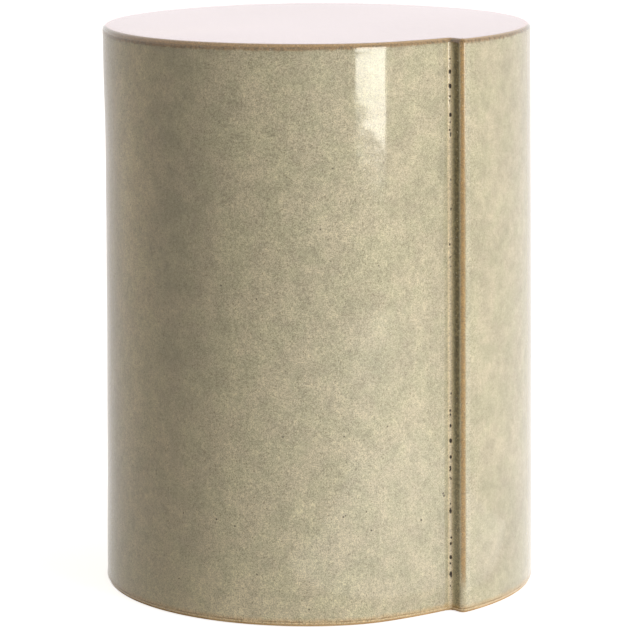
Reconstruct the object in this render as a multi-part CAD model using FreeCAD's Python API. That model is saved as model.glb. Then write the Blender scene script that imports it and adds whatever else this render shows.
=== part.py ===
import FreeCAD, Part
import math
import os

# Ceramic garden stool: a drum built from one wide slab of clay, wrapped round until its end laps
# over its start, with a round slab on top as the seat, one coat of glaze over the outside, and
# bare clay inside. The drum is open below and stands on four thin stuck-on pads.
#
# Units are millimetres and degrees. The origin is on the floor, in the middle of the footprint's
# box. +Z is up and -Y is the front. Plan angles run from the front towards +X.

# Whole stool
HEIGHT = 450.0
DRUM_RADIUS = 165.0

# Clay slabs
WALL_THICKNESS = 13.0
SEAT_THICKNESS = 14.0
RIM_RADIUS = 3.0

# Lapped seam
SEAM_ANGLE = 44.5
SEAM_DIP = 3.5
BLEND_ANGLE = 290.0
LAP_LENGTH = 45.0
DIP_START = 100.0
DIP_END = 8.0
DIP_RADIUS = 115.0
SLIP_THICKNESS = 1.0
SEAM_FILLET_RADIUS = 3.0
SEAM_EDGE_OVER_RIM = 1.0

# Inner end of the slab, and the coils of clay pressed into the inside corners
INNER_EDGE_RADIUS = 2.0
INNER_EDGE_FLAT = 1.0
COIL_CORNER_RADIUS = 2.0
SEAT_COIL_TOE = 1.0
FOOT_COIL_HEIGHT = 18.0
FOOT_COIL_TOP_WIDTH = 3.0

# Glaze
GLAZE_THICKNESS = 0.8
BARE_FOOT = 1.6

# Floor pads
PAD_COUNT = 4
PAD_FROM_SEAM = 45.5
PAD_DIAMETER = 12.0
PAD_THICKNESS = 1.0
ADHESIVE_DIAMETER = 11.0
ADHESIVE_THICKNESS = 0.3

# Heights that follow
FOOT_Z = PAD_THICKNESS + ADHESIVE_THICKNESS
SEAT_TOP_Z = HEIGHT - GLAZE_THICKNESS
WALL_TOP_Z = SEAT_TOP_Z - SEAT_THICKNESS
GLAZE_FOOT_Z = FOOT_Z + BARE_FOOT

# Sizes at the seam and of the coils that follow
SEAM_STEP = WALL_THICKNESS + SLIP_THICKNESS
SEAM_EDGE_RADIUS = RIM_RADIUS + SEAM_EDGE_OVER_RIM
TUCKED_RADIUS = DRUM_RADIUS - SEAM_DIP
LIFTED_RADIUS = TUCKED_RADIUS + SEAM_STEP
LAP_COIL_RADIUS = SEAM_STEP - INNER_EDGE_RADIUS - INNER_EDGE_FLAT
COIL_WIDTH = LAP_COIL_RADIUS - COIL_CORNER_RADIUS

# Plan directions
FULL_TURN = 360.0
FRONT = 0.0
RIGHT = 90.0
BACK = 180.0
LEFT = 270.0


def toward(angle):
    """The unit vector of a plan angle."""
    a = math.radians(angle)
    return FreeCAD.Vector(math.sin(a), -math.cos(a), 0)


def plan_angle(v):
    """The plan angle of a vector."""
    return math.degrees(math.atan2(v.x, -v.y))


def lap_offset():
    """How far the lap round's centre stands off the main round's, towards BLEND_ANGLE.

    The lap round carries the slab's lifted end. It touches the main round at BLEND_ANGLE and
    passes LIFTED_RADIUS from the main round's centre at the seam.
    """
    swing = math.cos(math.radians(BLEND_ANGLE - SEAM_ANGLE))
    spread = LIFTED_RADIUS**2 - DRUM_RADIUS**2
    return spread / (2 * (LIFTED_RADIUS * swing - DRUM_RADIUS))


LAP_OFFSET = lap_offset()
LAP_RADIUS = DRUM_RADIUS - LAP_OFFSET
TUCK_RADIUS = LAP_RADIUS - SEAM_STEP
FROM_DRUM_TO_LAP = toward(BLEND_ANGLE) * LAP_OFFSET


def round_at(angle):
    """The centre and radius of the round that makes the drum's outside in one direction."""
    if SEAM_ANGLE < angle % FULL_TURN < BLEND_ANGLE:
        return FROM_DRUM_TO_LAP, LAP_RADIUS
    return FreeCAD.Vector(), DRUM_RADIUS


def reach(angle):
    """How far the drum stands out in one direction from the centre of its main round."""
    centre, radius = round_at(angle)
    return centre.dot(toward(angle)) + radius


# The centres of the two rounds, with the box of the footprint centred on the origin
DRUM = FreeCAD.Vector((reach(LEFT) - reach(RIGHT)) / 2, (reach(FRONT) - reach(BACK)) / 2, 0)
LAP = DRUM + FROM_DRUM_TO_LAP


# The slab's two ends are cut along lines through the lap round's centre.
LIFTED_END = plan_angle(DRUM + toward(SEAM_ANGLE) * LIFTED_RADIUS - LAP)
TUCKED_END = LIFTED_END + math.degrees(LAP_LENGTH / TUCK_RADIUS)

# Between DIP_START and DIP_END before the seam, the slab dips from the main round to the tucked
# one through two tangent arcs: one of DIP_RADIUS, and then the one that meets both.
DIP_ANGLE = SEAM_ANGLE - math.degrees(DIP_START / DRUM_RADIUS)
TUCK_ANGLE = LIFTED_END - math.degrees(DIP_END / TUCK_RADIUS)
DIP = DRUM + toward(DIP_ANGLE) * (DRUM_RADIUS - DIP_RADIUS)


def rise_radius():
    """The radius of the arc that leaves the dip's round and runs into the tucked one."""
    to_tuck = LAP + toward(TUCK_ANGLE) * TUCK_RADIUS - DIP
    beyond = to_tuck.dot(toward(TUCK_ANGLE)) - DIP_RADIUS
    return (to_tuck.Length**2 - DIP_RADIUS**2) / (2 * beyond)


RISE_RADIUS = rise_radius()
RISE = LAP + toward(TUCK_ANGLE) * (TUCK_RADIUS - RISE_RADIUS)
BEND_ANGLE = plan_angle((DIP - RISE) * (1 if RISE_RADIUS > DIP_RADIUS else -1))


def lap_point(line_angle, along, across=0.0):
    """A point beside a line through the lap round's centre; across is positive past the line."""
    u = toward(line_angle)
    return LAP + u * along + FreeCAD.Vector(-u.y, u.x, 0) * across


def line(start, end):
    return Part.LineSegment(start, end).toShape()


def sweep(centre, radius, start, end):
    """An arc about a centre between two plan angles."""
    points = [centre + toward(a) * radius for a in (start, (start + end) / 2, end)]
    return Part.Arc(*points).toShape()


def short_arc(centre, start, end):
    """The short way round a centre from one point to another."""
    radius = (start - centre).Length
    middle = centre + ((start - centre) + (end - centre)).normalize() * radius
    return Part.Arc(start, middle, end).toShape()


class Corner:
    """A small arc that joins a round about the lap centre to one of the slab's cut ends."""

    def __init__(self, end_angle, centre_radius, centre_across, end_across, round_radius):
        along = math.sqrt(centre_radius**2 - centre_across**2)
        self.centre = lap_point(end_angle, along, centre_across)
        self.on_end = lap_point(end_angle, along, end_across)
        self.angle = plan_angle(self.centre - LAP)
        self.on_round = LAP + toward(self.angle) * round_radius


def outer_corners(grow=0.0):
    """The filled crease and the rounded edge of the seam's step, grown outwards."""
    crease = Corner(
        LIFTED_END,
        TUCK_RADIUS + SEAM_FILLET_RADIUS,
        -SEAM_FILLET_RADIUS,
        -grow,
        TUCK_RADIUS + grow,
    )
    edge = Corner(
        LIFTED_END,
        LAP_RADIUS - SEAM_EDGE_RADIUS,
        SEAM_EDGE_RADIUS,
        -grow,
        LAP_RADIUS + grow,
    )
    return crease, edge


def inner_corners(inset=0.0):
    """The rounded edge of the tucked end and the coil in the corner beyond it, drawn inwards."""
    edge = Corner(
        TUCKED_END,
        TUCK_RADIUS - WALL_THICKNESS + INNER_EDGE_RADIUS,
        -INNER_EDGE_RADIUS,
        inset,
        TUCK_RADIUS - WALL_THICKNESS - inset,
    )
    coil = Corner(
        TUCKED_END,
        LAP_RADIUS - WALL_THICKNESS - LAP_COIL_RADIUS,
        LAP_COIL_RADIUS,
        inset,
        LAP_RADIUS - WALL_THICKNESS - inset,
    )
    return edge, coil


def face_run(shift, start, end):
    """A face of the slab from its lifted end round to its tucked end, shifted outwards."""
    return [
        sweep(LAP, LAP_RADIUS + shift, start, BLEND_ANGLE),
        sweep(DRUM, DRUM_RADIUS + shift, BLEND_ANGLE, FULL_TURN + DIP_ANGLE),
        sweep(DIP, DIP_RADIUS + shift, DIP_ANGLE, BEND_ANGLE),
        sweep(RISE, RISE_RADIUS + shift, BEND_ANGLE, TUCK_ANGLE),
        sweep(LAP, TUCK_RADIUS + shift, TUCK_ANGLE, end),
    ]


def drum_outline(grow=0.0):
    """The drum's outside with the seam's step, grown outwards."""
    crease, edge = outer_corners(grow)
    edges = face_run(grow, edge.angle, crease.angle)
    edges += [
        short_arc(crease.centre, crease.on_round, crease.on_end),
        line(crease.on_end, edge.on_end),
        short_arc(edge.centre, edge.on_end, edge.on_round),
    ]
    return Part.Wire(edges)


def bore_outline(inset=0.0):
    """The hollow inside the slab and the lap coil, drawn inwards."""
    edge, coil = inner_corners(inset)
    edges = face_run(-WALL_THICKNESS - inset, coil.angle, edge.angle)
    edges += [
        short_arc(edge.centre, edge.on_round, edge.on_end),
        line(edge.on_end, coil.on_end),
        short_arc(coil.centre, coil.on_end, coil.on_round),
    ]
    return Part.Wire(edges)


def slab_outline():
    """The wrapped slab: along its outer face, round its tucked end and back along the inside."""
    edge = outer_corners()[1]
    tip = inner_corners()[0]
    edges = face_run(0, edge.angle, TUCKED_END)
    edges += [
        line(lap_point(TUCKED_END, TUCK_RADIUS), tip.on_end),
        short_arc(tip.centre, tip.on_end, tip.on_round),
    ]
    edges += reversed(face_run(-WALL_THICKNESS, LIFTED_END, tip.angle))
    edges += [
        line(lap_point(LIFTED_END, LAP_RADIUS - WALL_THICKNESS), edge.on_end),
        short_arc(edge.centre, edge.on_end, edge.on_round),
    ]
    return Part.Wire(edges)


def slip_outline():
    """The slip between the slab's two ends, with the fillet that it leaves in the crease."""
    crease = outer_corners()[0]
    lifted_face = LAP_RADIUS - WALL_THICKNESS
    edges = [
        short_arc(crease.centre, crease.on_round, crease.on_end),
        line(crease.on_end, lap_point(LIFTED_END, lifted_face)),
        sweep(LAP, lifted_face, LIFTED_END, TUCKED_END),
        line(lap_point(TUCKED_END, lifted_face), lap_point(TUCKED_END, TUCK_RADIUS)),
        sweep(LAP, TUCK_RADIUS, TUCKED_END, crease.angle),
    ]
    return Part.Wire(edges)


def lap_coil_outline():
    """The coil pressed into the corner between the tucked end and the lifted end's inner face."""
    coil = inner_corners()[1]
    lifted_face = LAP_RADIUS - WALL_THICKNESS
    edges = [
        line(coil.on_end, lap_point(TUCKED_END, lifted_face)),
        sweep(LAP, lifted_face, TUCKED_END, coil.angle),
        short_arc(coil.centre, coil.on_round, coil.on_end),
    ]
    return Part.Wire(edges)


def upright(outline, bottom, top):
    """A solid with one outline all the way up."""
    face = Part.Face(outline)
    face.translate(FreeCAD.Vector(0, 0, bottom))
    return face.extrude(FreeCAD.Vector(0, 0, top - bottom))


def rounded_drum(grow, bottom, top, rim_radius):
    """The drum's outer form from one height up, with its rim rounded."""
    drum = upright(drum_outline(grow), bottom, top)
    rim = [e for e in drum.Edges if e.BoundBox.ZMin > (bottom + top) / 2]
    return drum.makeFillet(rim_radius, rim)


def coil_ring(bottom, bottom_width, top, top_width):
    """A coil all round the bore, as wide at its bottom and at its top as asked."""
    ends = []
    for z, width in ((bottom, bottom_width), (top, top_width)):
        outline = bore_outline(width)
        outline.translate(FreeCAD.Vector(0, 0, z))
        ends.append(outline)
    hollow = Part.makeLoft(ends, True, True)
    return upright(bore_outline(), bottom, top).cut(hollow)


def make_glaze_coat():
    """One skin over the seat, the rim, the wall and the seam, ending just above the foot."""
    outside = rounded_drum(GLAZE_THICKNESS, GLAZE_FOOT_Z, HEIGHT, RIM_RADIUS + GLAZE_THICKNESS)
    return outside.cut(rounded_drum(0, FOOT_Z, SEAT_TOP_Z, RIM_RADIUS))


def make_pads():
    """The pads and their adhesive discs, evenly spaced under the middle of the foot."""
    pads = {}
    for i in range(PAD_COUNT):
        angle = SEAM_ANGLE + PAD_FROM_SEAM + i * FULL_TURN / PAD_COUNT
        centre, radius = round_at(angle)
        middle = radius - (WALL_THICKNESS + COIL_WIDTH) / 2
        place = DRUM + centre + toward(angle) * middle
        on_pad = place + FreeCAD.Vector(0, 0, PAD_THICKNESS)
        pad = Part.makeCylinder(PAD_DIAMETER / 2, PAD_THICKNESS, place)
        adhesive = Part.makeCylinder(ADHESIVE_DIAMETER / 2, ADHESIVE_THICKNESS, on_pad)
        pads[f"foot_pad_{i + 1}"] = pad
        pads[f"pad_adhesive_{i + 1}"] = adhesive
    return pads


def make_stool():
    """Every piece of the stool, by name."""
    pieces = {
        "wall_slab": upright(slab_outline(), FOOT_Z, WALL_TOP_Z),
        "seat_slab": rounded_drum(0, WALL_TOP_Z, SEAT_TOP_Z, RIM_RADIUS),
        "seam_slip": upright(slip_outline(), FOOT_Z, WALL_TOP_Z),
        "lap_coil": upright(lap_coil_outline(), FOOT_Z, WALL_TOP_Z),
        "seat_coil": coil_ring(WALL_TOP_Z - COIL_WIDTH, SEAT_COIL_TOE, WALL_TOP_Z, COIL_WIDTH),
        "foot_coil": coil_ring(
            FOOT_Z, COIL_WIDTH, FOOT_Z + FOOT_COIL_HEIGHT, FOOT_COIL_TOP_WIDTH
        ),
        "glaze_coat": make_glaze_coat(),
    }
    pieces.update(make_pads())
    return pieces


def main():
    os.makedirs("parts", exist_ok=True)
    for name, shape in make_stool().items():
        shape.exportStep(f"parts/{name}.step")
        litres = shape.Volume / 1e6
        print(f"{name}: {len(shape.Solids)} solid, {litres:.4f} l, valid {shape.isValid()}")


main()
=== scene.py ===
import math
import random
from types import SimpleNamespace

import bpy
import numpy as np
from mathutils import Matrix, Vector, noise
from mathutils.geometry import delaunay_2d_cdt


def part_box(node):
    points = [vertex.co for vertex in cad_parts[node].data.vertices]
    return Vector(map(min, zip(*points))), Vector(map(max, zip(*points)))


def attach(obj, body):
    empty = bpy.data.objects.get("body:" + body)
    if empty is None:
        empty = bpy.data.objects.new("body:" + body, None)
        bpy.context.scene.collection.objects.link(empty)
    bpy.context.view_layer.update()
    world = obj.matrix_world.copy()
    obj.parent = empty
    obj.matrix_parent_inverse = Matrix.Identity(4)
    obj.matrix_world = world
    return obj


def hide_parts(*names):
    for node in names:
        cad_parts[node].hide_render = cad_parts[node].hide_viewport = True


# Ceramic garden stool: the looks of the CAD part, with the glaze, the bare clay and the foot pads
# as detailed pieces in the same frame. Units are metres, and angles are in degrees unless a name
# says otherwise. Plan angles run from the front, -Y, towards +X, as in the part's source.

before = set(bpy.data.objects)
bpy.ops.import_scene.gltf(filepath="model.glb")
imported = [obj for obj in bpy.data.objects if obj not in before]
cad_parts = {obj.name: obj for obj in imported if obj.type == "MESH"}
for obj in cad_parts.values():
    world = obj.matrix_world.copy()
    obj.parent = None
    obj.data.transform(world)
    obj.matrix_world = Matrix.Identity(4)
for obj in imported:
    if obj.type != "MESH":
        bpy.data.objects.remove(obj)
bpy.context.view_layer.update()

MM = 0.001

# Heights, from the frame
FOOT_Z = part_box("wall_slab")[0].z
WALL_TOP_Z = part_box("wall_slab")[1].z
SEAT_TOP_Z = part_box("seat_slab")[1].z
GLAZE_FOOT_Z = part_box("glaze_coat")[0].z
TOP_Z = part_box("glaze_coat")[1].z
FOOT_COIL_TOP_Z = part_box("foot_coil")[1].z
SEAT_COIL_FOOT_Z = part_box("seat_coil")[0].z

# Driving sizes of the plan, as in the part's source
DRUM_RADIUS = 165 * MM
WALL_THICKNESS = 13 * MM
SLIP_THICKNESS = 1 * MM
RIM_RADIUS = 3 * MM
SEAM_ANGLE = 44.5
SEAM_DIP = 3.5 * MM
BLEND_ANGLE = 290.0
LAP_LENGTH = 45 * MM
DIP_START = 100 * MM
DIP_END = 8 * MM
DIP_RADIUS = 115 * MM
SEAM_FILLET_RADIUS = 3 * MM
SEAM_EDGE_RADIUS = 4 * MM
INNER_EDGE_RADIUS = 2 * MM
LAP_COIL_RADIUS = 11 * MM
COIL_WIDTH = 9 * MM
COIL_TOE = 1 * MM
FOOT_COIL_TOP_WIDTH = 3 * MM
PAD_COUNT = 4

# Sizes that follow
GLAZE = TOP_Z - SEAT_TOP_Z
SEAM_STEP = WALL_THICKNESS + SLIP_THICKNESS
LIFTED_RADIUS = DRUM_RADIUS - SEAM_DIP + SEAM_STEP
GLAZE_RIM_RADIUS = RIM_RADIUS + GLAZE
RIM_FOOT_Z = TOP_Z - GLAZE_RIM_RADIUS

# The hand-built form: the wall leans in, opens out again at the rim's left side, and wanders
LEAN = 4.2 * MM
FLARE = 1.15 * MM
FLARE_ANGLE = 275.0
FLARE_SPREAD = 35.0
FLARE_FROM = 0.75
WANDER = 0.5 * MM
SEAM_SWING_TOP = -0.4
SEAM_SWING_FOOT = -0.8
SEAM_SWING_SPREAD = 40.0
SEAT_UNEVENNESS = 0.5 * MM
DENT_WIDTH = 48 * MM
DENT_LENGTH = 57 * MM

# How hard the clay inside was pressed, and how rounded and hollow its edges and coils are
WALL_DENTS = 0.45 * MM
COIL_DENTS = 0.6 * MM
FOOT_EDGE = 0.7 * MM
FOOT_COIL_EDGE = 0.6 * MM
SEAT_COIL_SAG = 1.6 * MM
FOOT_COIL_SAG = 1.2 * MM

# Mesh spacing
FINEST = 0.45 * MM
COARSEST = 3.0 * MM
GROWTH = 0.06
FINE_SPLIT = 5
FINE_REACH = 3.5 * MM
ROW = 3.0 * MM
RIM_ROWS = 10
INNER_ROWS = 39
INNER_RIM_ROWS = 5
SEAT_RIM_ROWS = 4
SEAT_SPACING = 6 * MM
CLAY_ROW = 7 * MM
CLAY_SPACING = 12 * MM
COIL_SPACING = 4 * MM
CREASE_ANGLE = 50
COIL_CREASE_ANGLE = 60
GRADING_SAMPLES = 20000
A_HAIR = 1e-9

# The furthest that a point's distance from the seam is told
FAR = 60 * MM

# Camera, lights and stage
CAMERA_PLACE = (52.4 * MM, -2672.1 * MM, 717.5 * MM)
CAMERA_TURN = 1.10
CAMERA_DOWN = 10.77
CAMERA_ROLL = -0.26
CAMERA_LENS = 189.5
SENSOR = 36.0
FLOOR_RADII = (0.6, 2.0, 5.0, 12.0)
FLOOR_CORNERS = 96
FLOOR_WHITE = (0.86, 0.86, 0.86)
FLOOR_GLOW = 0.88
RIGHT_SHEEN = 0.66
LEFT_SHEEN = 0.45
SHEEN_REACH = (-0.8, 0.4)
WHITE = (1.0, 1.0, 1.0)
RIGHT_LIGHT = (1.41, 1.29, 1.24)
LEFT_LIGHT = (0.38, 0.29, 0.13)


# Plan outlines


def toward(angle):
    """The plan direction of an angle, or of several."""
    a = np.radians(angle)
    return np.stack([np.sin(a), -np.cos(a)], axis=-1)


def plan_angle(v):
    """The plan angle of a vector."""
    return math.degrees(math.atan2(v[0], -v[1]))


def off_angle(angle, middle):
    """How far an angle is from a middle one, from -180 to 180."""
    return (angle - middle + 180) % 360 - 180


def lap_offset():
    """How far the lap round's centre stands off the main round's, towards BLEND_ANGLE."""
    swing = math.cos(math.radians(BLEND_ANGLE - SEAM_ANGLE))
    spread = LIFTED_RADIUS**2 - DRUM_RADIUS**2
    return spread / (2 * (LIFTED_RADIUS * swing - DRUM_RADIUS))


LAP_OFFSET = lap_offset()
LAP_RADIUS = DRUM_RADIUS - LAP_OFFSET
TUCK_RADIUS = LAP_RADIUS - SEAM_STEP
LAP_BORE_RADIUS = LAP_RADIUS - WALL_THICKNESS
TUCK_BORE_RADIUS = TUCK_RADIUS - WALL_THICKNESS
FROM_DRUM_TO_LAP = toward(BLEND_ANGLE) * LAP_OFFSET


def reach(angle):
    """How far the drum stands out in one direction from the centre of its main round."""
    on_lap = SEAM_ANGLE < angle < BLEND_ANGLE
    centre, radius = (FROM_DRUM_TO_LAP, LAP_RADIUS) if on_lap else (np.zeros(2), DRUM_RADIUS)
    return centre @ toward(angle) + radius


FRONT, RIGHT, BACK, LEFT = 0.0, 90.0, 180.0, 270.0
DRUM = np.array([reach(LEFT) - reach(RIGHT), reach(FRONT) - reach(BACK)]) / 2
LAP = DRUM + FROM_DRUM_TO_LAP
LIFTED_END = plan_angle(DRUM + toward(SEAM_ANGLE) * LIFTED_RADIUS - LAP)
TUCKED_END = LIFTED_END + math.degrees(LAP_LENGTH / TUCK_RADIUS)
DIP_ANGLE = SEAM_ANGLE - math.degrees(DIP_START / DRUM_RADIUS)
TUCK_ANGLE = LIFTED_END - math.degrees(DIP_END / TUCK_RADIUS)
DIP = DRUM + toward(DIP_ANGLE) * (DRUM_RADIUS - DIP_RADIUS)


def rise_radius():
    """The radius of the arc that leaves the dip's round and runs into the tucked one."""
    to_tuck = LAP + toward(TUCK_ANGLE) * TUCK_RADIUS - DIP
    beyond = to_tuck @ toward(TUCK_ANGLE) - DIP_RADIUS
    return (to_tuck @ to_tuck - DIP_RADIUS**2) / (2 * beyond)


RISE_RADIUS = rise_radius()
RISE = LAP + toward(TUCK_ANGLE) * (TUCK_RADIUS - RISE_RADIUS)
BEND_ANGLE = plan_angle((DIP - RISE) * (1 if RISE_RADIUS > DIP_RADIUS else -1))


class Arc:
    """A stretch of an outline about a centre. Its normals point away from the centre, or to it."""

    def __init__(self, centre, radius, start, end, facing=1):
        self.centre, self.radius, self.facing = centre, radius, facing
        self.start, self.end = start, end
        self.length = radius * math.radians(abs(end - start))

    def at(self, share):
        way = toward(self.start + (self.end - self.start) * share)
        return self.centre + way * self.radius, way * self.facing


class Straight:
    """A straight stretch of an outline, with its clay on the left of the way it runs."""

    def __init__(self, start, end):
        self.start = start
        self.step = end - start
        self.length = float(np.hypot(*self.step))
        self.normal = np.array([self.step[1], -self.step[0]]) / self.length

    def at(self, share):
        points = self.start + share[:, None] * self.step
        return points, np.tile(self.normal, (len(share), 1))


def short_arc(centre, start, end, facing):
    """The short way round a centre from one point to another."""
    first = plan_angle(start - centre)
    turn = off_angle(plan_angle(end - centre), first)
    return Arc(centre, float(np.hypot(*(start - centre))), first, first + turn, facing)


class Outline:
    """A closed outline made of stretches, with places measured along it."""

    def __init__(self, stretches):
        self.stretches = stretches
        self.ends = np.cumsum([s.length for s in stretches])
        self.length = float(self.ends[-1])

    def at(self, places):
        """The points and the normals at some places."""
        points = np.zeros((len(places), 2))
        normals = np.zeros((len(places), 2))
        index = np.searchsorted(self.ends, places, side="right").clip(0, len(self.stretches) - 1)
        for i, stretch in enumerate(self.stretches):
            here = index == i
            share = (places[here] - self.ends[i] + stretch.length) / stretch.length
            points[here], normals[here] = stretch.at(share)
        return points, normals


def lap_point(line_angle, along, across=0.0):
    """A point beside a line through the lap round's centre; across is positive past the line."""
    u = toward(line_angle)
    return LAP + u * along + np.array([-u[1], u[0]]) * across


class Corner:
    """A small arc between a round about the lap's centre and one of the slab's cut ends."""

    def __init__(self, end_angle, round_radius, radius, beyond, fills):
        """Beyond the round or within it, and filling a corner or taking off an edge."""
        across = -radius if beyond else radius
        along = math.sqrt((round_radius - across) ** 2 - radius**2)
        centre = lap_point(end_angle, along, across)
        self.angle = plan_angle(centre - LAP)
        self.on_end = lap_point(end_angle, along)
        on_round = LAP + toward(self.angle) * round_radius
        if fills:
            self.arc = short_arc(centre, on_round, self.on_end, -1)
        else:
            self.arc = short_arc(centre, self.on_end, on_round, 1)


CREASE = Corner(LIFTED_END, TUCK_RADIUS, SEAM_FILLET_RADIUS, beyond=True, fills=True)
SEAM_EDGE = Corner(LIFTED_END, LAP_RADIUS, SEAM_EDGE_RADIUS, beyond=False, fills=False)
TIP = Corner(TUCKED_END, TUCK_BORE_RADIUS, INNER_EDGE_RADIUS, beyond=True, fills=False)
COIL = Corner(TUCKED_END, LAP_BORE_RADIUS, LAP_COIL_RADIUS, beyond=False, fills=True)


def face_run(depth, start, end, facing=1):
    """A face of the slab, some depth inside its outer one, from the lifted end to the tucked."""
    return [
        Arc(LAP, LAP_RADIUS - depth, start, BLEND_ANGLE, facing),
        Arc(DRUM, DRUM_RADIUS - depth, BLEND_ANGLE, 360 + DIP_ANGLE, facing),
        Arc(DIP, DIP_RADIUS - depth, DIP_ANGLE, BEND_ANGLE, facing),
        Arc(RISE, RISE_RADIUS - depth, BEND_ANGLE, TUCK_ANGLE, facing),
        Arc(LAP, TUCK_RADIUS - depth, TUCK_ANGLE, end, facing),
    ]


def turned_back(stretches):
    """The same arcs run the other way."""
    return [Arc(s.centre, s.radius, s.end, s.start, s.facing) for s in reversed(stretches)]


def drum_outline():
    """The drum's outside, from the crease over the seam's step and round to the crease again."""
    step = Straight(CREASE.on_end, SEAM_EDGE.on_end)
    return Outline([CREASE.arc, step, SEAM_EDGE.arc] + face_run(0, SEAM_EDGE.angle, CREASE.angle))


def bore_outline():
    """The hollow inside the slab and the lap coil, with normals into the hollow."""
    wall = turned_back(face_run(WALL_THICKNESS, COIL.angle, TIP.angle, -1))
    return Outline(wall + [COIL.arc, Straight(COIL.on_end, TIP.on_end), TIP.arc])


def slab_outline():
    """The wrapped slab: along its outer face, round its tucked end and back along the inside."""
    outside = face_run(0, SEAM_EDGE.angle, TUCKED_END)
    tucked_end = Straight(lap_point(TUCKED_END, TUCK_RADIUS), TIP.on_end)
    inside = turned_back(face_run(WALL_THICKNESS, LIFTED_END, TIP.angle, -1))
    lifted_end = Straight(lap_point(LIFTED_END, LAP_BORE_RADIUS), SEAM_EDGE.on_end)
    return Outline([SEAM_EDGE.arc] + outside + [tucked_end, TIP.arc] + inside + [lifted_end])


def slip_outline():
    """The slip between the slab's two ends, with the fillet that it leaves in the crease."""
    return Outline(
        [
            CREASE.arc,
            Straight(CREASE.on_end, lap_point(LIFTED_END, LAP_BORE_RADIUS)),
            Arc(LAP, LAP_BORE_RADIUS, LIFTED_END, TUCKED_END),
            Straight(lap_point(TUCKED_END, LAP_BORE_RADIUS), lap_point(TUCKED_END, TUCK_RADIUS)),
            Arc(LAP, TUCK_RADIUS, TUCKED_END, CREASE.angle, -1),
        ]
    )


def lap_coil_outline():
    """The coil pressed into the corner between the tucked end and the lifted end's inner face."""
    across = Straight(COIL.on_end, lap_point(TUCKED_END, LAP_BORE_RADIUS))
    return Outline([across, Arc(LAP, LAP_BORE_RADIUS, TUCKED_END, COIL.angle), COIL.arc])


# Mesh helpers


def smooth_step(x, low, high):
    """0 below low, 1 above high, and a smooth rise between them."""
    t = np.clip((x - low) / (high - low), 0, 1)
    return t * t * (3 - 2 * t)


def bell(x):
    """1 at 0, falling away smoothly on both sides."""
    return np.exp(-(x**2))


def angles_of(points):
    """The plan angle of each point."""
    return np.degrees(np.arctan2(points[:, 0], -points[:, 1]))


def graded(length, spacing_at):
    """Places along a length from 0 up to its end, as close together as spacing_at says."""
    fine = np.linspace(0, length, GRADING_SAMPLES)
    middles = (fine[1:] + fine[:-1]) / 2
    count = np.concatenate([[0], np.cumsum(np.diff(fine) / spacing_at(middles))])
    total = max(3, round(count[-1]))
    return np.interp(np.arange(total) * count[-1] / total, count, fine)


def even(outline, spacing):
    """Places along an outline: just past each stretch's start, and evenly on from it."""
    places = []
    for stretch, end in zip(outline.stretches, outline.ends):
        count = max(1, round(stretch.length / spacing))
        places.append(end - stretch.length + np.arange(count) * stretch.length / count)
    return np.concatenate(places) + A_HAIR


def ripple(points, size, seed):
    """Smooth noise from about -1 to 1 at each point, with bumps of about one size."""
    shift = Vector((seed, 2.0 * seed, 3.0 * seed))
    return np.array([noise.noise(Vector(p) / size + shift) for p in points])


def handmade(points):
    """Points of the straight, true drum moved to where the hand-built one has them."""
    x, y, z = points.T
    rise = np.clip((z - FOOT_Z) / (TOP_Z - FOOT_Z), 0, 1)
    angle = angles_of(points)
    swing = SEAM_SWING_FOOT + (SEAM_SWING_TOP - SEAM_SWING_FOOT) * rise
    turn = np.radians(swing * bell(off_angle(angle, SEAM_ANGLE) / SEAM_SWING_SPREAD))
    x, y = x * np.cos(turn) - y * np.sin(turn), x * np.sin(turn) + y * np.cos(turn)
    flare = FLARE * bell(off_angle(angle, FLARE_ANGLE) / FLARE_SPREAD) * smooth_step(rise, FLARE_FROM, 1)
    a = np.radians(angle)
    wander = WANDER * np.sin(math.pi * rise) * (np.cos(2 * a - 1.1) + 0.7 * np.cos(3 * a + 2.5 * rise))
    grow = 1 + (flare - LEAN * rise + wander) / DRUM_RADIUS
    near_top = smooth_step(z, TOP_Z - 20 * MM, TOP_Z - 5 * MM)
    dents = np.cos(x / DENT_WIDTH + 0.6) * np.cos(y / DENT_LENGTH - 0.4)
    sink = SEAT_UNEVENNESS * near_top * (0.5 + 0.5 * dents)
    return np.column_stack([x * grow, y * grow, z - sink])


def level(plan, height):
    """Plan points raised to one height."""
    return np.column_stack([plan, np.full(len(plan), height)])


def in_plan(outline, places, depth, height):
    """Points at one height that stand off an outline by one depth, or by one each."""
    points, normals = outline.at(places)
    return level(points + normals * np.asarray(depth)[..., None], height)


def round_plan(count, radius):
    """Evenly spaced plan points on a circle about the origin."""
    return toward(np.arange(count) * 360 / count) * radius


def rim_section(radius, top, steps, stand_off=0.0):
    """The rows over a rounded rim, from just past the wall to the top: depths and heights."""
    turns = np.radians(np.linspace(0, 90, steps + 1)[1:])
    return [(stand_off + radius * (math.cos(a) - 1), top + radius * (math.sin(a) - 1)) for a in turns]


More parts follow.
